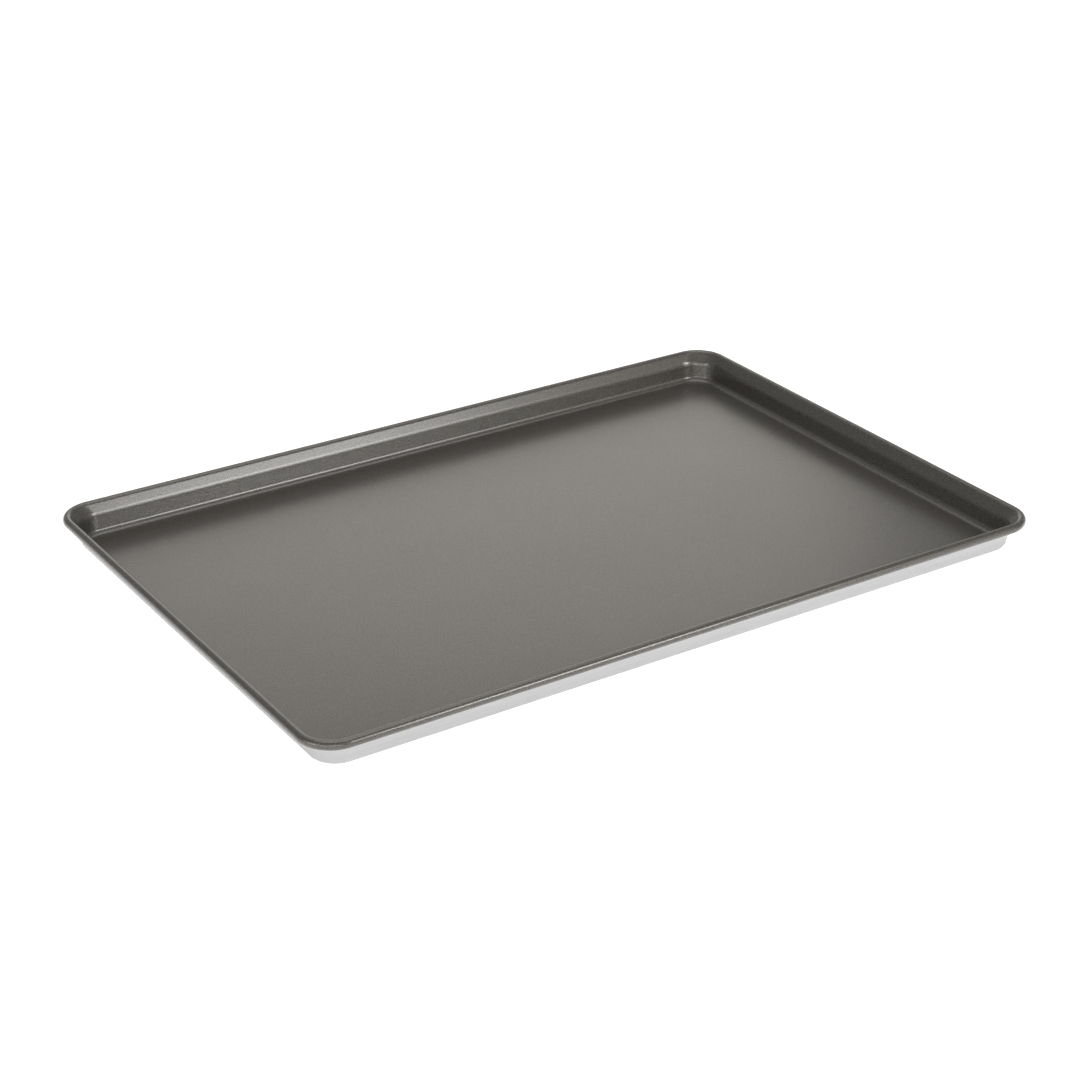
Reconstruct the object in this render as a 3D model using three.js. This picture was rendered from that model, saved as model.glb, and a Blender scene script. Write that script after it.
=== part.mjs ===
// Full-size sheet pan: one pressed aluminium sheet with flared walls, its edge rolled round a
// stiffening wire, and a dark non-stick coating baked on the top face.
// Millimetres, +Z up. The underside of the floor rests on z = 0 and the long sides run along X.
import * as THREE from 'three';

// Outside size over the rolled rim
const PAN_LENGTH = 660.4;
const PAN_WIDTH = 457.2;
const PAN_HEIGHT = 27.4;

// Sheet, and the film of coating on its top face
const SHEET_THICKNESS = 1.0;
const COATING_THICKNESS = 0.05;

// Wall section: a steep wall, a soft crease, and a straight flare that runs into the rolled rim. Tilts
// are degrees from upright, measured on the coated face
const FLOOR_BEND_RADIUS = 5.5;
const WALL_TILT = 7.5;
const CREASE_RADIUS = 15.0;
const FLARE_TILT = 27;
const FLARE_LENGTH = 6.9;

// Corners in plan, at the outside of the rim and at the foot of the wall
const RIM_CORNER_RADIUS = 29.3;
const BODY_CORNER_RADIUS = 21.7;

// Steel wire inside the rim, its ends butted behind the pan, and the part of a turn the roll stays open
const WIRE_DIAMETER = 4.8;
const WIRE_CLEARANCE = 0.3;
const WIRE_BUTT_GAP = 1.0;
const CURL_OPENING = 35;

// Steps along the curves
const BEND_STEPS = 5;
const CREASE_STEPS = 3;
const CURL_STEP_ANGLE = 28;
const CORNER_STEPS = 9;
const WIRE_SIDES = 10;

const QUARTER_TURN = 90;
const FULL_TURN = 360;

// Direction the coated face looks in, in the plane of the section: 0 degrees is level and towards the
// middle of the pan, 90 degrees is up. x is the inset from the outside of the rim, y the height
function facing(degrees) {
  const angle = THREE.MathUtils.degToRad(degrees);
  return new THREE.Vector2(Math.cos(angle), Math.sin(angle));
}

// Section of the metal's top face: the roll, the flare that runs into it, the wall and the floor bend
const beadRadius = WIRE_DIAMETER / 2 + WIRE_CLEARANCE + SHEET_THICKNESS;
const beadInset = beadRadius + COATING_THICKNESS;
const beadCentre = new THREE.Vector2(beadInset, PAN_HEIGHT - beadInset);
const flareRun = facing(FLARE_TILT - QUARTER_TURN).multiplyScalar(FLARE_LENGTH);
const creaseCentre = facing(FLARE_TILT)
  .multiplyScalar(beadRadius - CREASE_RADIUS)
  .add(beadCentre)
  .add(flareRun);
const wallFacing = facing(WALL_TILT);
const wallTop = wallFacing.clone().multiplyScalar(CREASE_RADIUS).add(creaseCentre);
const bendHeight = SHEET_THICKNESS + FLOOR_BEND_RADIUS;
const wallLength = (wallTop.y + FLOOR_BEND_RADIUS * wallFacing.y - bendHeight) / wallFacing.x;
const bendInset = wallTop.x + wallLength * wallFacing.y + FLOOR_BEND_RADIUS * wallFacing.x;
const bendCentre = new THREE.Vector2(bendInset, bendHeight);

// Distance from the outside of the rim to the centres of the rounded corners. The flare takes up the
// difference, so it widens to a ledge in each corner
const bodyCorner = bendInset - FLOOR_BEND_RADIUS + BODY_CORNER_RADIUS;
const rimCorner = RIM_CORNER_RADIUS;

// Stations along one arc of the section. A negative radius is a hollow arc
function arc(centre, radius, fromTilt, toTilt, corner, steps) {
  return Array.from({ length: steps + 1 }, (_, step) => ({
    centre,
    radius,
    tilt: THREE.MathUtils.lerp(fromTilt, toTilt, step / steps),
    corner,
  }));
}

// From the edge of the flat floor up to the free edge of the roll
const stations = [
  ...arc(bendCentre, -FLOOR_BEND_RADIUS, QUARTER_TURN, WALL_TILT, bodyCorner, BEND_STEPS),
  ...arc(creaseCentre, CREASE_RADIUS, WALL_TILT, FLARE_TILT, bodyCorner, CREASE_STEPS),
];

// The roll has a step at its top, its outermost and its lowest line, so the pan is true to size
const curlTilt = FULL_TURN - CURL_OPENING;
const rollTilts = [FLARE_TILT, QUARTER_TURN, 2 * QUARTER_TURN, 3 * QUARTER_TURN, curlTilt];
rollTilts.slice(1).forEach((toTilt, part) => {
  const steps = Math.ceil((toTilt - rollTilts[part]) / CURL_STEP_ANGLE);
  const roll = arc(beadCentre, beadRadius, rollTilts[part], toTilt, rimCorner, steps);
  stations.push(...(part === 0 ? roll : roll.slice(1)));
});

// Rounded rectangle at one inset and height, anticlockwise seen from above
function roundedRing(inset, height, corner) {
  const points = [];
  for (let quarter = 0; quarter < 4; quarter += 1) {
    const signX = quarter === 0 || quarter === 3 ? 1 : -1;
    const signY = quarter < 2 ? 1 : -1;
    for (let step = 0; step <= CORNER_STEPS; step += 1) {
      const direction = facing(QUARTER_TURN * (quarter + step / CORNER_STEPS));
      points.push(new THREE.Vector3(
        signX * (PAN_LENGTH / 2 - corner) + direction.x * (corner - inset),
        signY * (PAN_WIDTH / 2 - corner) + direction.y * (corner - inset),
        height,
      ));
    }
  }
  return points;
}

// Rings of a face that lies parallel to the metal's top face, from the floor to the edge of the roll
function faceRings(offset) {
  return stations.map(({ centre, radius, tilt, corner }) => {
    const point = facing(tilt).multiplyScalar(radius + offset).add(centre);
    return roundedRing(point.x, point.y, corner);
  });
}

// Closed skin over two parallel faces: floor and walls of the lower one, the sheet edge, the upper one
function layer(lowerOffset, upperOffset) {
  const lower = faceRings(lowerOffset);
  const upper = faceRings(upperOffset).reverse();
  const rings = [...lower, ...upper];
  const size = rings[0].length;
  const middles = [lower[0], upper[upper.length - 1]].map((ring) => new THREE.Vector3(0, 0, ring[0].z));
  const points = [...rings.flat(), ...middles];
  const lowerMiddle = points.length - 2;
  const upperMiddle = points.length - 1;
  const index = [];
  for (let side = 0; side < size; side += 1) {
    const next = (side + 1) % size;
    index.push(lowerMiddle, next, side);
    for (let row = 0; row + 1 < rings.length; row += 1) {
      const a = row * size + side;
      const b = row * size + next;
      const c = a + size;
      const d = b + size;
      if (row < lower.length) {
        index.push(a, b, d, a, d, c);
      } else {
        index.push(a, b, c, b, d, c);
      }
    }
    const last = (rings.length - 1) * size;
    index.push(upperMiddle, last + side, last + next);
  }
  const geometry = new THREE.BufferGeometry().setFromPoints(points);
  geometry.setIndex(index);
  geometry.computeVertexNormals();
  return geometry;
}

// Centre line of the wire: once round the roll, stepped only where it bends
class WirePath extends THREE.Curve {
  constructor(points) {
    super();
    this.points = points;
  }

  getUtoTmapping(share) {
    return share;
  }

  getPoint(share, target = new THREE.Vector3()) {
    const place = share * (this.points.length - 1);
    const before = Math.min(Math.floor(place), this.points.length - 2);
    return target.lerpVectors(this.points[before], this.points[before + 1], place - before);
  }
}

function wireGeometry() {
  const loop = roundedRing(beadCentre.x, beadCentre.y, rimCorner);
  const back = PAN_WIDTH / 2 - beadCentre.x;
  const start = new THREE.Vector3(-WIRE_BUTT_GAP / 2, back, beadCentre.y);
  const end = new THREE.Vector3(WIRE_BUTT_GAP / 2, back, beadCentre.y);
  const turned = [...loop.slice(CORNER_STEPS + 1), ...loop.slice(0, CORNER_STEPS + 1)];
  const path = new WirePath([start, ...turned, end]);
  const round = new THREE.Shape().absarc(0, 0, WIRE_DIAMETER / 2, 0, 2 * Math.PI, false);
  return new THREE.ExtrudeGeometry(round, {
    extrudePath: path,
    steps: path.points.length - 1,
    curveSegments: WIRE_SIDES / 2,
    bevelEnabled: false,
  });
}

const pan = new THREE.Group();
pan.name = 'sheet_pan';

function add(name, geometry, color, metalness, roughness) {
  const mesh = new THREE.Mesh(geometry, new THREE.MeshStandardMaterial({ color, metalness, roughness }));
  mesh.name = name;
  pan.add(mesh);
}

// Pressed sheet: bare bright aluminium outside and underneath
add('pan_shell', layer(-SHEET_THICKNESS, 0), 0xcfd0cf, 1.0, 0.42);

// Stiffening wire inside the roll
add('rim_wire', wireGeometry(), 0x9c9d9c, 1.0, 0.45);

// Non-stick film over the whole top face and round the roll to the edge of the sheet
add('nonstick_coating', layer(0, COATING_THICKNESS), 0x45433f, 0.0, 0.4);

export default pan;
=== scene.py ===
import math
import bpy
from mathutils import Matrix, Vector


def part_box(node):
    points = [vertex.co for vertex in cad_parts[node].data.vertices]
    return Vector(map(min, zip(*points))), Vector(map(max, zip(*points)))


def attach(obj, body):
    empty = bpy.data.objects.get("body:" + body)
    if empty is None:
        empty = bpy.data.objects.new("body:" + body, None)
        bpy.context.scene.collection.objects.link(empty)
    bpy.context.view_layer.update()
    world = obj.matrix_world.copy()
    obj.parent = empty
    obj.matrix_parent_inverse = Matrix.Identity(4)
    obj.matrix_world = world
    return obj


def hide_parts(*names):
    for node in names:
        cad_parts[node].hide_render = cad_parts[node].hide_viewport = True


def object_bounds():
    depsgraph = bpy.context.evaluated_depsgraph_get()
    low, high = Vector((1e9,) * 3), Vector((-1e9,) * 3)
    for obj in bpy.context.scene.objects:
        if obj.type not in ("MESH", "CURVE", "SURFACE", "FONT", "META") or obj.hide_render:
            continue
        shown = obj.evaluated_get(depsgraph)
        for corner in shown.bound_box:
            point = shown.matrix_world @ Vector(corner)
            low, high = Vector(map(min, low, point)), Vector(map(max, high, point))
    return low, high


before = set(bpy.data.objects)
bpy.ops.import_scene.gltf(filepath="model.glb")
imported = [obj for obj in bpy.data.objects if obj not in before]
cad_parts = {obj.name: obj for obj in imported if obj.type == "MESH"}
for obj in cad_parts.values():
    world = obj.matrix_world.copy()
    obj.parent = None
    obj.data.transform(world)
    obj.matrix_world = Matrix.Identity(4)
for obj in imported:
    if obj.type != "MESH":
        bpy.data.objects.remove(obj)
cad_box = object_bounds()

# Pan shell
# One sheet of soft aluminium, pressed to a flat floor with flared walls and rounded corners. Its edge
# is rolled outwards and under to a stiff round rim. The outside and the underside stay bare metal.
pan_high = cad_box[1]
shell_low, shell_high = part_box("pan_shell")
coating_low, coating_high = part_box("nonstick_coating")
wire_low, wire_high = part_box("rim_wire")
half_length = pan_high[0]
half_width = pan_high[1]
sheet_thickness = coating_low[2] - shell_low[2]
coating_thickness = coating_high[0] - shell_high[0]
wire_radius = (wire_high[2] - wire_low[2]) / 2
roll_height = (wire_high[2] + wire_low[2]) / 2
roll_inset = pan_high[2] - roll_height
roll_radius = roll_inset - coating_thickness

# Tilts are degrees from upright. The land is a flat strip beside the floor bend
floor_land = 0.004
floor_bend_radius = 0.0055
wall_tilt = 7.5
crease_radius = 0.015
flare_tilt = 27
flare_length = 0.0069
roll_opening = 35
rim_corner = 0.0293
body_corner_radius = 0.0217

corner_steps = 32
bend_steps = 16
crease_steps = 16
flare_steps = 10
roll_steps = 60
sharp_edge_angle = 40
weld_distance = 1e-6

metal_grain_scale = 1400
metal_grain_stretch = (0.02, 1, 1)
metal_cloud_scale = 14
metal_dark = (0.47, 0.47, 0.47)
metal_light = (0.52, 0.52, 0.52)
metal_grain_depth = 0.00002


def facing(degrees):
    """Level and towards the middle of the pan at 0 degrees, straight up at 90."""
    angle = math.radians(degrees)
    return Vector((math.cos(angle), math.sin(angle)))


def blend(start, end, share):
    return start + (end - start) * share


roll_centre = Vector((roll_inset, roll_height))
flare_run = facing(flare_tilt - 90) * flare_length
crease_centre = roll_centre + facing(flare_tilt) * (roll_radius - crease_radius) + flare_run
wall_facing = facing(wall_tilt)
wall_top = crease_centre + wall_facing * crease_radius
bend_height = sheet_thickness + floor_bend_radius
wall_length = (wall_top.y + floor_bend_radius * wall_facing.y - bend_height) / wall_facing.x
bend_inset = wall_top.x + wall_length * wall_facing.y + floor_bend_radius * wall_facing.x
bend_centre = Vector((bend_inset, bend_height))
body_corner = bend_inset - floor_bend_radius + body_corner_radius


def section(offset):
    """One face of the sheet from the middle of the floor to the free edge of the roll, as points of
    (share of the way out, inset, height, inset of the corner's centre)."""
    def arc(centre, radius, from_tilt, to_tilt, corner, steps):
        points = []
        for step in range(steps + 1):
            place = centre + facing(blend(from_tilt, to_tilt, step / steps)) * (radius + offset)
            points.append(Vector((1, place.x, place.y, corner)))
        return points

    middle = Vector((0, bend_inset, sheet_thickness + offset, body_corner))
    land = Vector((1, bend_inset + floor_land, sheet_thickness + offset, body_corner))
    bend = arc(bend_centre, -floor_bend_radius, 90, wall_tilt, body_corner, bend_steps)
    crease = arc(crease_centre, crease_radius, wall_tilt, flare_tilt, body_corner, crease_steps)
    roll = arc(roll_centre, roll_radius, flare_tilt, 360 - roll_opening, rim_corner, roll_steps)
    flare = [blend(crease[-1], roll[0], step / flare_steps) for step in range(1, flare_steps)]
    return [middle, land] + bend + crease + flare + roll


def add_node(tree, kind, inputs=None, **settings):
    """A node with its settings, and its inputs linked where they are sockets."""
    made = tree.nodes.new(kind)
    for name, value in settings.items():
        setattr(made, name, value)
    for place, value in (inputs or {}).items():
        if isinstance(value, bpy.types.NodeSocket):
            tree.links.new(value, made.inputs[place])
        else:
            made.inputs[place].default_value = value
    return made


def calculate(tree, operation, first, second=0.0):
    made = add_node(tree, "ShaderNodeMath", {0: first, 1: second}, operation=operation)
    return made.outputs[0]


def loft_tree():
    """Carries a section round the pan: straight along the sides and round the four corners."""
    tree = bpy.data.node_groups.new("Loft round the pan", "GeometryNodeTree")
    for name, kind in (
        ("Section", "NodeSocketGeometry"),
        ("Half Length", "NodeSocketFloat"),
        ("Half Width", "NodeSocketFloat"),
        ("Corner Steps", "NodeSocketInt"),
        ("Material", "NodeSocketMaterial"),
    ):
        tree.interface.new_socket(name=name, in_out="INPUT", socket_type=kind)
    tree.interface.new_socket(name="Layer", in_out="OUTPUT", socket_type="NodeSocketGeometry")
    given = tree.nodes.new("NodeGroupInput").outputs

    # A sheet of quads: one row for each point of the section, one column for each step round the pan
    size = add_node(tree, "GeometryNodeAttributeDomainSize", {"Geometry": given["Section"]})
    corner_points = calculate(tree, "ADD", given["Corner Steps"], 1)
    ring_points = calculate(tree, "MULTIPLY", corner_points, 4)
    columns = calculate(tree, "ADD", ring_points, 1)
    quads = add_node(tree, "GeometryNodeMeshGrid", {
        "Vertices X": size.outputs["Point Count"], "Vertices Y": columns})
    index = tree.nodes.new("GeometryNodeInputIndex").outputs[0]
    row = calculate(tree, "FLOOR", calculate(tree, "DIVIDE", index, columns))
    column = calculate(tree, "MODULO", index, columns)

    # The section's own values at that row
    def at_row(value, kind):
        return add_node(tree, "GeometryNodeSampleIndex", {
            "Geometry": given["Section"], "Value": value, "Index": row}, data_type=kind).outputs[0]

    def named(name):
        made = add_node(tree, "GeometryNodeInputNamedAttribute", {"Name": name}, data_type="FLOAT")
        return at_row(made.outputs["Attribute"], "FLOAT")

    position = tree.nodes.new("GeometryNodeInputPosition").outputs[0]
    place = add_node(tree, "ShaderNodeSeparateXYZ", {0: at_row(position, "FLOAT_VECTOR")}).outputs
    reach = named("reach")
    corner = named("corner")
    radius = calculate(tree, "SUBTRACT", corner, place["X"])

    # The quarter of the pan and the direction in it
    quarter = calculate(tree, "FLOOR", calculate(tree, "DIVIDE", column, corner_points))
    step = calculate(tree, "MODULO", column, corner_points)
    share = calculate(tree, "DIVIDE", step, given["Corner Steps"])
    turn = calculate(tree, "MULTIPLY", calculate(tree, "ADD", quarter, share), math.pi / 2)
    diagonal = calculate(tree, "MULTIPLY", calculate(tree, "ADD", quarter, 0.5), math.pi / 2)

    def along(wave, half):
        side = calculate(tree, "SIGN", calculate(tree, wave, diagonal))
        centre = calculate(tree, "MULTIPLY", side, calculate(tree, "SUBTRACT", half, corner))
        bow = calculate(tree, "MULTIPLY", calculate(tree, wave, turn), radius)
        return calculate(tree, "MULTIPLY", calculate(tree, "ADD", centre, bow), reach)

    spot = add_node(tree, "ShaderNodeCombineXYZ", {
        "X": along("COSINE", given["Half Length"]),
        "Y": along("SINE", given["Half Width"]),
        "Z": place["Z"],
    })
    placed = add_node(tree, "GeometryNodeSetPosition", {
        "Geometry": quads.outputs["Mesh"], "Position": spot.outputs[0]})
    closed = add_node(tree, "GeometryNodeMergeByDistance", {
        "Geometry": placed.outputs[0], "Distance": weld_distance})
    smooth = add_node(tree, "GeometryNodeSetShadeSmooth", {"Geometry": closed.outputs[0]})
    real = add_node(tree, "GeometryNodeRealizeInstances", {"Geometry": smooth.outputs[0]})
    finished = add_node(tree, "GeometryNodeSetMaterial", {
        "Geometry": real.outputs[0], "Material": given["Material"]})
    add_node(tree, "NodeGroupOutput", {"Layer": finished.outputs[0]})
    return tree


loft = loft_tree()


def run_tree(piece, tree, values):
    """Runs a node tree on a piece and keeps the result as its plain mesh."""
    modifier = piece.modifiers.new(tree.name, "NODES")
    modifier.node_group = tree
    for socket in tree.interface.items_tree:
        if socket.in_out == "INPUT" and socket.name in values:
            modifier[socket.identifier] = values[socket.name]
    depsgraph = bpy.context.evaluated_depsgraph_get()
    mesh = bpy.data.meshes.new_from_object(piece.evaluated_get(depsgraph), depsgraph=depsgraph)
    piece.modifiers.clear()
    piece.data = mesh
    mesh.set_sharp_from_angle(angle=math.radians(sharp_edge_angle))


def pressed_layer(name, lower_offset, upper_offset, material):
    """A closed layer between two faces that lie parallel to the sheet's top face."""
    points = section(lower_offset) + section(upper_offset)[::-1]
    outline = bpy.data.meshes.new(name)
    vertices = [(inset, 0, height) for reach, inset, height, corner in points]
    outline.from_pydata(vertices, [(i, i + 1) for i in range(len(points) - 1)], [])
    for label, column in (("reach", 0), ("corner", 3)):
        values = outline.attributes.new(label, "FLOAT", "POINT")
        values.data.foreach_set("value", [point[column] for point in points])
    piece = bpy.data.objects.new(name, outline)
    bpy.context.collection.objects.link(piece)
    run_tree(piece, loft, {
        "Half Length": half_length,
        "Half Width": half_width,
        "Corner Steps": corner_steps,
        "Material": material,
    })
    return piece


def new_material(name):
    """A material with its node tree, its principled shader and its object coordinates."""
    material = bpy.data.materials.new(name)
    material.use_nodes = True
    tree = material.node_tree
    shader = tree.nodes["Principled BSDF"]
    coordinates = tree.nodes.new("ShaderNodeTexCoord").outputs["Object"]
    return material, tree, shader, coordinates


def noise(tree, coordinates, scale, detail=2.0, stretch=(1, 1, 1)):
    """Noise with so many features to the metre, drawn out where stretch is under 1."""
    mapped = add_node(tree, "ShaderNodeMapping", {"Vector": coordinates, "Scale": stretch})
    made = add_node(tree, "ShaderNodeTexNoise", {
        "Vector": mapped.outputs[0], "Scale": scale, "Detail": detail})
    return made.outputs["Fac"]


def ramp(tree, value, low, high):
    """Takes the middle range of a noise to a range from low to high."""
    made = add_node(tree, "ShaderNodeMapRange", {
        "Value": value, "From Min": 0.3, "From Max": 0.7, "To Min": low, "To Max": high})
    return made.outputs[0]


def shade(tree, share, dark, light):
    """A colour between two, by a share."""
    made = add_node(tree, "ShaderNodeMix", {
        "Factor": share, "A": (*dark, 1), "B": (*light, 1)}, data_type="RGBA")
    return made.outputs["Result"]


def bare_aluminium():
    """Satin rolled sheet with a fine grain along its length."""
    material, tree, shader, coordinates = new_material("bare_aluminium")
    grain = noise(tree, coordinates, metal_grain_scale, 3.0, metal_grain_stretch)
    clouds = noise(tree, coordinates, metal_cloud_scale)
    colour = shade(tree, ramp(tree, grain, 0.0, 1.0), metal_dark, metal_light)
    tree.links.new(colour, shader.inputs["Base Color"])
    tree.links.new(ramp(tree, clouds, 0.38, 0.48), shader.inputs["Roughness"])
    shader.inputs["Metallic"].default_value = 1
    bump = add_node(tree, "ShaderNodeBump", {
        "Height": grain, "Strength": 0.15, "Distance": metal_grain_depth})
    tree.links.new(bump.outputs[0], shader.inputs["Normal"])
    return material


shell = pressed_layer("pressed_shell", -sheet_thickness, 0, bare_aluminium())
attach(shell, "root")
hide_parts("pan_shell")

# Non-stick coating
# A dark warm grey film, sprayed on the flat sheet and baked, so it covers the floor, the walls and the
# outside of the roll up to the cut edge of the sheet. Fine metal flakes lie under a clear satin top coat.
flake_scale = 1100
flake_dark = (0.036, 0.032, 0.027)
flake_light = (0.102, 0.092, 0.077)
flake_depth = 0.0003
coating_cloud_scale = 9


def nonstick_film():
    material, tree, shader, coordinates = new_material("nonstick_coating")
    flakes = noise(tree, coordinates, flake_scale, 1.0)
    clouds = noise(tree, coordinates, coating_cloud_scale)
    colour = shade(tree, ramp(tree, flakes, 0.0, 1.0), flake_dark, flake_light)
    tree.links.new(colour, shader.inputs["Base Color"])
    tree.links.new(ramp(tree, clouds, 0.44, 0.48), shader.inputs["Roughness"])
    shader.inputs["Metallic"].default_value = 0.7
    shader.inputs["Coat Weight"].default_value = 1.0
    shader.inputs["Coat Roughness"].default_value = 0.24
    shader.inputs["Coat IOR"].default_value = 1.55
    bump = add_node(tree, "ShaderNodeBump", {
        "Height": flakes, "Strength": 0.8, "Distance": flake_depth})
    tree.links.new(bump.outputs[0], shader.inputs["Normal"])
    return material


coating = pressed_layer("baked_coating", 0, coating_thickness, nonstick_film())
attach(coating, "root")
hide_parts("nonstick_coating")

# Rim wire
# A length of zinc-coated steel wire, bent once round the pan inside the roll. Its ends butt together at
# the middle of the back side, and the roll holds it without welds.
wire_butt_gap = 0.001
wire_sides = 20
spangle_scale = 500
zinc_dark = (0.34, 0.35, 0.35)
zinc_light = (0.52, 0.53, 0.53)


def wire_path():
    """Centre line of the wire from one butted end round to the other."""
    back = half_width - roll_inset
    bend = rim_corner - roll_inset
    points = [Vector((-wire_butt_gap / 2, back, roll_height))]
    for quarter, (side_x, side_y) in enumerate(((-1, 1), (-1, -1), (1, -1), (1, 1)), 1):
        centre = Vector((side_x * (half_length - rim_corner), side_y * (half_width - rim_corner)))
        for step in range(corner_steps + 1):
            place = centre + facing(90 * (quarter + step / corner_steps)) * bend
            points.append(place.to_3d() + Vector((0, 0, roll_height)))
    points.append(Vector((wire_butt_gap / 2, back, roll_height)))
    return points


def wire_tree():
    """Draws a round wire along a centre line and closes its ends."""
    tree = bpy.data.node_groups.new("Wire along the roll", "GeometryNodeTree")
    for name, kind in (
        ("Centre Line", "NodeSocketGeometry"),
        ("Radius", "NodeSocketFloat"),
        ("Sides", "NodeSocketInt"),
        ("Material", "NodeSocketMaterial"),
    ):
        tree.interface.new_socket(name=name, in_out="INPUT", socket_type=kind)
    tree.interface.new_socket(name="Wire", in_out="OUTPUT", socket_type="NodeSocketGeometry")
    given = tree.nodes.new("NodeGroupInput").outputs
    line = add_node(tree, "GeometryNodeMeshToCurve", {"Mesh": given["Centre Line"]})
    round_section = add_node(tree, "GeometryNodeCurvePrimitiveCircle", {
        "Resolution": given["Sides"], "Radius": given["Radius"]})
    drawn = add_node(tree, "GeometryNodeCurveToMesh", {
        "Curve": line.outputs[0], "Profile Curve": round_section.outputs[0], "Fill Caps": True})
    smooth = add_node(tree, "GeometryNodeSetShadeSmooth", {"Geometry": drawn.outputs[0]})
    real = add_node(tree, "GeometryNodeRealizeInstances", {"Geometry": smooth.outputs[0]})
    finished = add_node(tree, "GeometryNodeSetMaterial", {
        "Geometry": real.outputs[0], "Material": given["Material"]})
    add_node(tree, "NodeGroupOutput", {"Wire": finished.outputs[0]})
    return tree


def zinc_wire():
    material, tree, shader, coordinates = new_material("rim_wire")
    spangle = noise(tree, coordinates, spangle_scale)
    tree.links.new(shade(tree, spangle, zinc_dark, zinc_light), shader.inputs["Base Color"])
    tree.links.new(ramp(tree, spangle, 0.35, 0.5), shader.inputs["Roughness"])
    shader.inputs["Metallic"].default_value = 1
    return material


centre_line = wire_path()
path_mesh = bpy.data.meshes.new("rolled_in_wire")
path_mesh.from_pydata(centre_line, [(i, i + 1) for i in range(len(centre_line) - 1)], [])
wire = bpy.data.objects.new("rolled_in_wire", path_mesh)
bpy.context.collection.objects.link(wire)
run_tree(wire, wire_tree(), {"Radius": wire_radius, "Sides": wire_sides, "Material": zinc_wire()})
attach(wire, "root")
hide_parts("rim_wire")

# Studio
# A white paper floor under the pan in a plain bright room. A warm white panel behind the pan and one
# overhead show in the satin coating. Soft boxes stand in front of it, to its left and between the two.
floor_size = 40.0
floor_drop = 0.0002
paper_fibre_scale = 300
paper_dark = (0.86, 0.86, 0.86)
paper_light = (0.90, 0.90, 0.90)
paper_lift = 0.62
room_brightness = 0.42
white = (1, 1, 1, 1)

floor_mesh = bpy.data.meshes.new("studio_floor")
floor_mesh.from_pydata(
    [(x * floor_size / 2, y * floor_size / 2, 0) for x, y in ((-1, -1), (1, -1), (1, 1), (-1, 1))],
    [], [(0, 1, 2, 3)])
floor = bpy.data.objects.new("studio_floor", floor_mesh)
floor.location.z = -floor_drop
bpy.context.collection.objects.link(floor)


def seen_share(tree):
    """1 for the rays that see the backdrop, straight, mirrored or through glass."""
    light_path = tree.nodes.new("ShaderNodeLightPath").outputs
    seen = calculate(tree, "MAXIMUM", light_path["Is Camera Ray"], light_path["Is Glossy Ray"])
    return calculate(tree, "MAXIMUM", seen, light_path["Is Transmission Ray"])


def studio_paper():
    material, tree, shader, coordinates = new_material("studio_paper")
    fibres = noise(tree, coordinates, paper_fibre_scale)
    tree.links.new(shade(tree, fibres, paper_dark, paper_light), shader.inputs["Base Color"])
    shader.inputs["Roughness"].default_value = 0.9
    shader.inputs["Emission Color"].default_value = white
    lift = calculate(tree, "MULTIPLY", seen_share(tree), paper_lift)
    tree.links.new(lift, shader.inputs["Emission Strength"])
    return material


floor_mesh.materials.append(studio_paper())

world = bpy.data.worlds.new("studio_surroundings")
world.use_nodes = True
bpy.context.scene.world = world
background = world.node_tree.nodes["Background"]
background.inputs["Color"].default_value = white
background.inputs["Strength"].default_value = room_brightness


def soft_box(name, direction, distance, size, radiance, colour=(1, 1, 1)):
    """A rectangular soft box that faces the pan from a direction, with the brightness of its face."""
    lamp = bpy.data.lights.new(name, "AREA")
    lamp.shape = "RECTANGLE"
    lamp.color = colour
    lamp.size, lamp.size_y = size
    lamp.energy = radiance * math.pi * lamp.size * lamp.size_y
    stand = bpy.data.objects.new(name, lamp)
    away = Vector(direction).normalized()
    stand.location = away * distance
    stand.rotation_euler = away.to_track_quat("Z", "Y").to_euler()
    stand.visible_camera = False
    bpy.context.collection.objects.link(stand)


soft_box("back_panel", (1.32, 2.37, 1.0), distance=3.0, size=(1.7, 1.25), radiance=0.95,
         colour=(1.0, 0.95, 0.88))
soft_box("overhead_panel", (0.1, 0.15, 1.0), distance=2.4, size=(2.0, 2.2), radiance=1.6)
soft_box("key_soft_box", (0.38, -0.86, 0.385), distance=2.0, size=(0.65, 0.55), radiance=14.0)
soft_box("left_soft_box", (-0.95, -0.15, 0.26), distance=2.2, size=(0.8, 0.6), radiance=5.0)
soft_box("fill_soft_box", (-0.42, -0.86, 0.29), distance=2.6, size=(1.0, 0.6), radiance=5.0)
soft_box("corner_soft_box", (-0.80, -0.58, 0.2), distance=2.6, size=(1.5, 0.6), radiance=3.0)

# Camera
# A long lens at the height of a person at a table, looking down across the near left corner.
camera_place = Vector((-0.951864, -1.482413, 0.867750))
camera_target = Vector((0.000130, 0.005121, 0.0012))
camera_roll = -0.3453
camera_lens = 80.280
camera_sensor_width = 36.0

camera_data = bpy.data.cameras.new("photo_camera")
camera_data.sensor_width = camera_sensor_width
camera_data.lens = camera_lens
camera_data.clip_start = 0.01
camera_data.clip_end = 100.0
camera = bpy.data.objects.new("photo_camera", camera_data)
aim = (camera_place - camera_target).to_track_quat("Z", "Y").to_matrix().to_4x4()
roll = Matrix.Rotation(math.radians(camera_roll), 4, "Z")
camera.matrix_world = Matrix.Translation(camera_place) @ aim @ roll
bpy.context.collection.objects.link(camera)
bpy.context.scene.camera = camera
bpy.context.scene.view_settings.view_transform = "Standard"
